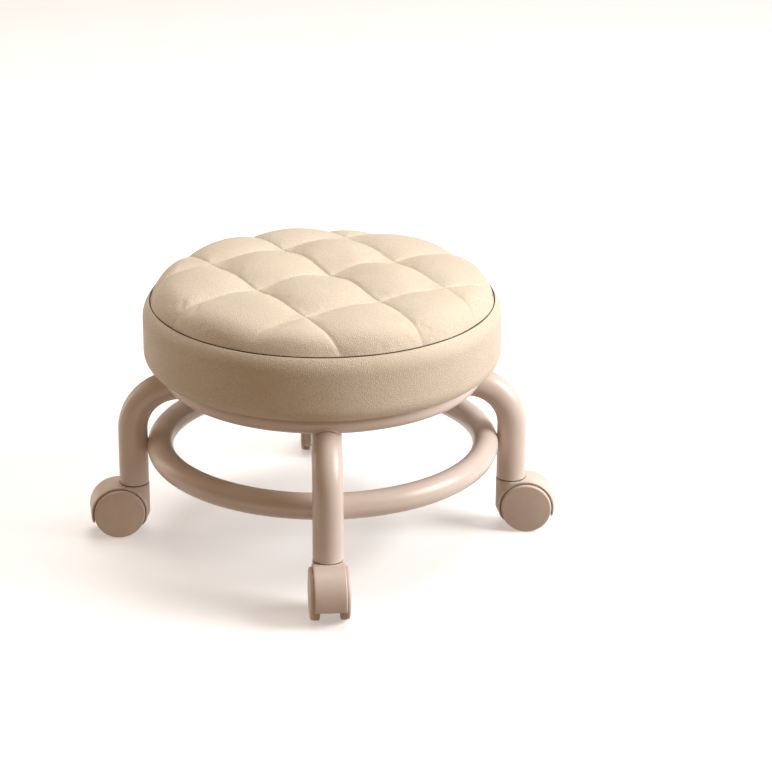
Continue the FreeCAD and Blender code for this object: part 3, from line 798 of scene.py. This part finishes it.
def flat_sheet():
    """Round sheet in the plane, its grid along the stitch lines; positions are (u, v, 0)."""
    limit = seam_run + 2 * PITCH
    places_u = line_positions(LINES_U, limit)
    places_v = line_positions(LINES_V, limit)
    bm = bmesh.new()
    bmesh.ops.create_grid(bm, x_segments=len(places_u) - 1, y_segments=len(places_v) - 1, size=0.5)
    for vert in bm.verts:
        column = round((vert.co.x + 0.5) * (len(places_u) - 1))
        row = round((vert.co.y + 0.5) * (len(places_v) - 1))
        vert.co = (places_u[column], places_v[row], 0)
    outside = [vert for vert in bm.verts if vert.co.length > seam_run - 0.3 * PITCH]
    bmesh.ops.delete(bm, geom=outside, context="VERTS")
    loose = [vert for vert in bm.verts if len(vert.link_faces) < 2]
    bmesh.ops.delete(bm, geom=loose, context="VERTS")
    for vert in bm.verts:
        if vert.is_boundary:
            vert.co *= seam_run / vert.co.length
    return bm


def on_stitch(u, v):
    """True on a stitch line of the flat sheet."""
    return (min(abs(u - line) for line in LINES_U) < ON_LINE
            or min(abs(v - line) for line in LINES_V) < ON_LINE)


def lay_on_dome(bm, depth):
    """Bends the flat sheet over the dome and sinks each point by depth(u, v)."""
    for vert in bm.verts:
        u, v = vert.co.x, vert.co.y
        run = math.hypot(u, v)
        heading = math.atan2(v, u) + QUILT_TURN
        radius, height, lean = on_crown(run)
        sink = depth(u, v)
        radius -= sink * math.sin(lean)
        height -= sink * math.cos(lean)
        vert.co = (radius * math.cos(heading), radius * math.sin(heading), height)


sheet = flat_sheet()
sheet.verts.index_update()
stitched = [vert.index for vert in sheet.verts if on_stitch(vert.co.x, vert.co.y)]
lay_on_dome(sheet, quilt_depth)
print("sheet", len(sheet.verts), "points,", len(stitched), "of them stitched")

# %% [markdown]
# Air pressure does the stuffing. The sheet is held along its stitch lines and its rim, and a cloth
# simulation blows up what lies between, so the puffs swell and pucker at the stitches as a filled cover
# does. How far a point may move is capped. The result is divided once more, and only then is the crease
# pressed in along each line.

# %% Blow up the puffs
PRESSURE = 8.0
CLOTH_FRAMES = 18
SWELL_CAP = 5.0 * MM
SHEET_MASS = 0.25
STRETCH_STIFFNESS = 12
BEND_STIFFNESS = 1.2
SHEET_GROWTH = 0.004
SOLVER_QUALITY = 6


def blow_up(mesh, held):
    """Cloth simulation with pressure; held is the indices of the points that stay."""
    pad = bpy.data.objects.new("pad_simulation", mesh)
    scene.collection.objects.link(pad)
    start = [vert.co.copy() for vert in mesh.vertices]
    pad.vertex_groups.new(name="held").add(held, 1.0, "REPLACE")
    cloth = pad.modifiers.new("Cloth", "CLOTH")
    cloth.point_cache.frame_end = CLOTH_FRAMES
    cloth.settings.vertex_group_mass = "held"
    cloth.settings.quality = SOLVER_QUALITY
    cloth.settings.mass = SHEET_MASS
    cloth.settings.tension_stiffness = STRETCH_STIFFNESS
    cloth.settings.compression_stiffness = STRETCH_STIFFNESS
    cloth.settings.bending_stiffness = BEND_STIFFNESS
    cloth.settings.shrink_min = -SHEET_GROWTH
    cloth.settings.use_pressure = True
    cloth.settings.uniform_pressure_force = PRESSURE
    cloth.settings.effector_weights.gravity = 0
    for frame_number in range(1, CLOTH_FRAMES + 1):
        scene.frame_set(frame_number)
    settled = bpy.data.meshes.new_from_object(pad.evaluated_get(bpy.context.evaluated_depsgraph_get()))
    bpy.data.objects.remove(pad)
    scene.frame_set(1)
    for vert, origin in zip(settled.vertices, start):
        moved = vert.co - origin
        if moved.length > SWELL_CAP:
            vert.co = origin + moved * (SWELL_CAP / moved.length)
    return settled


def divided(mesh):
    """The mesh with every face divided once on a smooth surface."""
    holder = bpy.data.objects.new("divided", mesh)
    scene.collection.objects.link(holder)
    finer = holder.modifiers.new("Finer", "SUBSURF")
    finer.levels = 1
    finer.boundary_smooth = "ALL"
    result = bpy.data.meshes.new_from_object(holder.evaluated_get(bpy.context.evaluated_depsgraph_get()))
    bpy.data.objects.remove(holder)
    return result


held = [vert.index for vert in sheet.verts if vert.is_boundary]
held += stitched
panel_mesh = new_mesh("seat_sheet", sheet)
panel_mesh = blow_up(panel_mesh, held)
panel_mesh = divided(panel_mesh)
print("blown up and divided into", len(panel_mesh.polygons), "faces")

# %% Press in the creases and close the panel
CREASE_DEPTH = 1.3 * MM
CREASE_WIDTH = 1.1 * MM
# Inward and downward steps of the rim, first round the seam and then in under the panel.
EDGE_TUCKS = ((-0.5 * MM, -0.6 * MM), (-0.9 * MM, -0.9 * MM), (-1.6 * MM, -1.2 * MM), (-10 * MM, -4 * MM))
OVER_BOARD = 1 * MM


def sheet_place(co):
    """(u, v) on the flat sheet of a point on the dome."""
    radius = co.to_2d().length
    flat_edge = CROWN_RADIUS * math.sin(roll_lean)
    if radius <= flat_edge:
        run = CROWN_RADIUS * math.asin(radius / CROWN_RADIUS)
    else:
        share = min((radius - roll_centre[0]) / RIM_ROLL, 1)
        run = dome_run + RIM_ROLL * (math.asin(share) - roll_lean)
    heading = math.atan2(co.y, co.x) - QUILT_TURN
    return run * math.cos(heading), run * math.sin(heading)


def press_creases(bm):
    """Sinks a narrow crease along every stitch line."""
    for vert in bm.verts:
        u, v = sheet_place(vert.co)
        nearest = min(min(abs(u - line) for line in LINES_U), min(abs(v - line) for line in LINES_V))
        depth = CREASE_DEPTH * line_fade(math.hypot(u, v))
        vert.co.z -= depth * math.exp(-(nearest / CREASE_WIDTH) ** 2)


def close_panel(bm):
    """Turns the rim in at the seam and closes the pad's hidden sides and bottom."""
    rim = [edge for edge in bm.edges if edge.is_boundary]
    for inwards, down in EDGE_TUCKS:
        made = bmesh.ops.extrude_edge_only(bm, edges=rim)["geom"]
        for vert in [part for part in made if isinstance(part, bmesh.types.BMVert)]:
            reach = vert.co.to_2d().length
            vert.co.x *= (reach + inwards) / reach
            vert.co.y *= (reach + inwards) / reach
            vert.co.z += down
        rim = [edge for edge in bm.edges if edge.is_boundary]
    made = bmesh.ops.extrude_edge_only(bm, edges=rim)["geom"]
    for part in made:
        if isinstance(part, bmesh.types.BMVert):
            part.co.z = board_high.z + OVER_BOARD
    bmesh.ops.holes_fill(bm, edges=[edge for edge in bm.edges if edge.is_boundary], sides=0)


pad_bm = bmesh.new()
pad_bm.from_mesh(panel_mesh)
press_creases(pad_bm)
close_panel(pad_bm)
panel = new_piece("quilted_seat_pad", new_mesh("quilted_seat_pad", pad_bm), cream_cover, FRAME_BODY,
                  ["seat_cover_top", "seat_foam"])
print("panel", len(panel.data.polygons), "faces")

# %% [markdown]
# A dark brown ring lies in the groove between the panel and the band. It is painted shade: it stands for the
# shadow in the seam groove, and all that shows is one thin dark line.

# %% Lay the dark ring of painted seam shade
SHADE_RING_RADIUS = 0.55 * MM
SHADE_RING_SUNK = 0.28 * MM


def seam_shade_ring():
    """Dark ring of painted seam shade, sunk a little along the slope of the seam."""
    centre = (seam_radius - SHADE_RING_SUNK * math.cos(seam_angle), seam_z - SHADE_RING_SUNK * math.sin(seam_angle))
    profile = arc(centre, SHADE_RING_RADIUS, 0, 360, 10)[:-1]
    return new_mesh("seam_shade_ring", turned(profile, SEAT_SEGMENTS, closed=True))


seam_shade_piece = new_piece("seam_shade_ring", seam_shade_ring(), painted_seam_shade_colour, FRAME_BODY)
print("seam_shade_piece", len(seam_shade_piece.data.polygons), "faces")

# %% [markdown]
# ## Finishes on the parts that stay
# The remaining parts of the engineering model have their true shape and only need a finish.

# %% Give the remaining nodes their material
SLOT_MATERIAL = {
    "frame_coat": champagne_coat, "leatherette": cream_cover, "foam": cream_cover, "plywood": plywood,
    "dust_cloth": under_cloth, "hood_plastic": hood_nylon, "wheel_plastic": hood_nylon, "tyre": tread_rubber,
    "black_plastic": black_plastic, "zinc_steel": zinc,
}
node_slot = {part["node"]: part["material_slot"] for part in frame["record"]["subparts"]}
for node, obj in frame["nodes"].items():
    obj.data.materials.clear()
    obj.data.materials.append(SLOT_MATERIAL[node_slot[node]])
print("finished", len(frame["nodes"]), "nodes")

# %% [markdown]
# ## Studio
# The stool stands on a white light table, which glows a little and keeps the background clean. One large
# softbox stands low on the right, a weaker one hangs overhead, a faint one draws the left edge, and the
# room is dim and warm. The camera is a long lens that looks down at a little over twenty degrees.

# %% Floor
FLOOR_SIZE = 14.0
TABLE_GLOW = 0.34
SURROUND_GLOW = 0.28


def studio_floor():
    material, tree, shader, place = new_material("white_acrylic_light_table", Roughness=0.9)
    shader.inputs["Base Color"].default_value = linear("fafafa")
    shader.inputs["Emission Color"].default_value = linear("ffffff")
    shader.inputs["Emission Strength"].default_value = TABLE_GLOW
    bm = bmesh.new()
    bmesh.ops.create_grid(bm, x_segments=1, y_segments=1, size=FLOOR_SIZE / 2)
    floor = bpy.data.objects.new("floor", new_mesh("floor", bm))
    floor.data.materials.append(material)
    scene.collection.objects.link(floor)
    floor.visible_diffuse = False
    return floor


floor = studio_floor()
print("floor", floor.dimensions[:])

# %% Lights
AIM = Vector((0, 0, 0.15))


def softbox(name, place, width, height, power, colour):
    light = bpy.data.lights.new(name, "AREA")
    light.shape = "RECTANGLE"
    light.size = width
    light.size_y = height
    light.energy = power
    light.color = linear(colour)[:3]
    lamp = bpy.data.objects.new(name, light)
    lamp.location = place
    lamp.rotation_euler = (AIM - Vector(place)).to_track_quat("-Z", "Y").to_euler()
    scene.collection.objects.link(lamp)


softbox("key_right", (1.9, -0.35, 1.15), 1.1, 1.1, 48, "fffcfa")
softbox("overhead", (0.3, 0.7, 2.3), 1.8, 1.8, 34, "ffffff")
softbox("edge_left", (-1.7, 0.9, 0.5), 0.5, 1.0, 5, "fff0e0")
world = bpy.data.worlds.new("surround")
world.use_nodes = True
world.node_tree.nodes["Background"].inputs["Color"].default_value = linear("ffd8b4")
world.node_tree.nodes["Background"].inputs["Strength"].default_value = SURROUND_GLOW
scene.world = world
scene.view_settings.view_transform = "Standard"

# %% Camera
CAMERA_PLACE = Vector((-0.0493, -2.1392, 0.9753))
CAMERA_HEADING = -0.0480
CAMERA_DOWN = 0.3760
CAMERA_ROLL = 0.0050
CAMERA_LENS = 127.0
SENSOR_WIDTH = 36


def camera_turn():
    """Rotation from heading (positive to the left), downward tilt and roll."""
    forward = Vector((-math.sin(CAMERA_HEADING) * math.cos(CAMERA_DOWN),
                      math.cos(CAMERA_HEADING) * math.cos(CAMERA_DOWN), -math.sin(CAMERA_DOWN)))
    level = forward.cross(UP).normalized()
    over = level.cross(forward)
    right = level * math.cos(CAMERA_ROLL) + over * math.sin(CAMERA_ROLL)
    above = right.cross(forward)
    return Matrix((right, above, -forward)).transposed()


lens = bpy.data.cameras.new("camera")
lens.lens = CAMERA_LENS
lens.sensor_width = SENSOR_WIDTH
camera = bpy.data.objects.new("camera", lens)
camera.location = CAMERA_PLACE
camera.rotation_euler = camera_turn().to_euler()
scene.collection.objects.link(camera)
scene.camera = camera
print("camera at", [round(v, 3) for v in camera.location])
